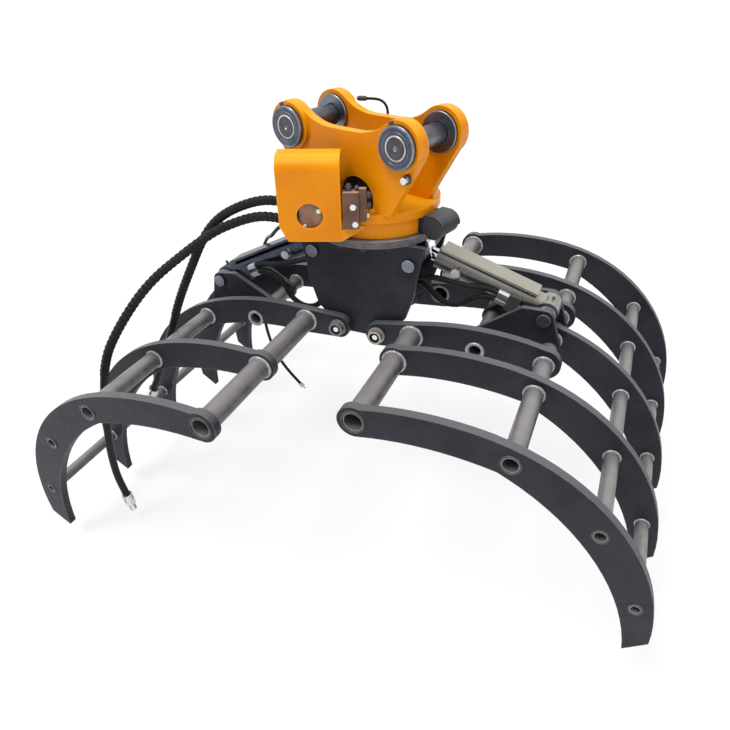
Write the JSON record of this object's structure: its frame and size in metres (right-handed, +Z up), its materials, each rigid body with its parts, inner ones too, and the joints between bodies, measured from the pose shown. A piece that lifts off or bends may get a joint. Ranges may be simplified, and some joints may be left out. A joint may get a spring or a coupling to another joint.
{
  "type": "grass grapple",
  "caption": "Grass grapple: two curved tined jaws worked by hydraulic cylinders under a slewing bracket that hangs on two pins.",
  "frame": {"origin": "midway between the two machine pins, on the slewing axis", "axes": "+Z up along the slewing axis, +X towards the tips of the jaw that is open at rest, Y along the jaws' hinge pins"},
  "size_m": [1.4775, 1.17, 1.0339],
  "materials": {
    "orange_paint": "gloss",
    "dark_paint": "satin",
    "grey_paint": "satin",
    "black_paint": "satin",
    "bright_steel": "satin",
    "brown_steel": "satin",
    "khaki_zinc": "satin",
    "plated_steel": "gloss",
    "rod_chrome": "gloss",
    "hose_rubber": "satin"
  },
  "bodies": {
    "bracket": {"ear_front": "orange_paint", "ear_rear": "orange_paint", "base_plate": "orange_paint", "slew_ring": "orange_paint", "ear_bushes": "bright_steel", "machine_pins": "bright_steel", "pin_locks": "bright_steel", "motor_cover": "orange_paint", "slew_motor": "black_paint", "manifold": "black_paint", "motor_plate": "black_paint", "valve_block": "brown_steel", "worm_housing": "grey_paint", "worm_motor": "black_paint", "hose_upper": "hose_rubber", "hose_lower": "hose_rubber", "hose_thin": "hose_rubber", "hose_glands": "plated_steel", "hose_ends": "plated_steel", "sensor_line": "hose_rubber"},
    "frame": {"frame_top_plate": "grey_paint", "frame_plate_front": "dark_paint", "frame_plate_rear": "dark_paint", "frame_webs": "dark_paint", "swivel_joint": "grey_paint", "hinge_pins": "khaki_zinc", "rod_pins": "bright_steel", "inner_ring": "bright_steel", "frame_bolts": "bright_steel", "left_hoses": "hose_rubber", "right_hoses": "hose_rubber"},
    "left_jaw": {"left_tine_1": "dark_paint", "left_tine_2": "dark_paint", "left_tine_3": "dark_paint", "left_tine_4": "dark_paint", "left_tine_5": "dark_paint", "left_tine_6": "dark_paint", "left_tube_a": "grey_paint", "left_tube_b": "grey_paint", "left_tip_tubes": "grey_paint", "left_tube_e": "grey_paint", "left_bracket": "dark_paint", "left_bracket_pin": "bright_steel"},
    "right_jaw": {"right_tine_1": "dark_paint", "right_tine_2": "dark_paint", "right_tine_3": "dark_paint", "right_tine_4": "dark_paint", "right_tine_5": "dark_paint", "right_arms": "dark_paint", "right_tube_a": "grey_paint", "right_tube_b": "grey_paint", "right_tip_tubes": "grey_paint", "right_tube_e": "grey_paint", "right_bracket": "dark_paint", "right_bracket_pin": "bright_steel"},
    "left_barrel": {"left_barrel": "khaki_zinc"},
    "left_rod": {"left_rod": "rod_chrome"},
    "right_barrel": {"right_barrel": "khaki_zinc"},
    "right_rod": {"right_rod": "rod_chrome"}
  },
  "joints": [
    {"name": "slew", "type": "hinge", "parent": "bracket", "child": "frame", "pos_m": [0, 0, 0], "axis": [0, 0, 1], "continuous": true, "deforming": ["hose_upper", "hose_lower", "hose_thin", "hose_ends"]},
    {"name": "left_jaw_hinge", "type": "hinge", "parent": "frame", "child": "left_jaw", "pos_m": [-0.052, 0, -0.46], "axis": [0, -1, 0], "range_deg": [-8.5, 55.5], "deforming": ["hose_upper", "hose_lower", "hose_thin", "hose_ends", "left_hoses"]},
    {"name": "right_jaw_hinge", "type": "hinge", "parent": "frame", "child": "right_jaw", "pos_m": [0.052, 0, -0.46], "axis": [0, 1, 0], "range_deg": [0, 64], "deforming": ["right_hoses"]},
    {"name": "left_barrel_pin", "type": "hinge", "parent": "left_jaw", "child": "left_barrel", "pos_m": [-0.43841, 0, -0.43181], "axis": [0, -1, 0], "range_deg": [-12, 3]},
    {"name": "right_barrel_pin", "type": "hinge", "parent": "right_jaw", "child": "right_barrel", "pos_m": [0.43, 0, -0.375], "axis": [0, 1, 0], "range_deg": [-11, 1]},
    {"name": "left_rod_slide", "type": "slide", "parent": "left_barrel", "child": "left_rod", "axis": [0.8949, 0, 0.4463], "range_m": [-0.027, 0.167]},
    {"name": "right_rod_slide", "type": "slide", "parent": "right_barrel", "child": "right_rod", "axis": [-0.9502, 0, 0.3116], "range_m": [-0.002, 0.203]}
  ],
  "couplings": [
    {"joint": "left_barrel_pin", "follows": "left_jaw_hinge", "ratio": -0.2075},
    {"joint": "left_rod_slide", "follows": "left_jaw_hinge", "m_per_rad": 0.17},
    {"joint": "right_barrel_pin", "follows": "right_jaw_hinge", "ratio": -0.1625},
    {"joint": "right_rod_slide", "follows": "right_jaw_hinge", "m_per_rad": 0.18}
  ]
}
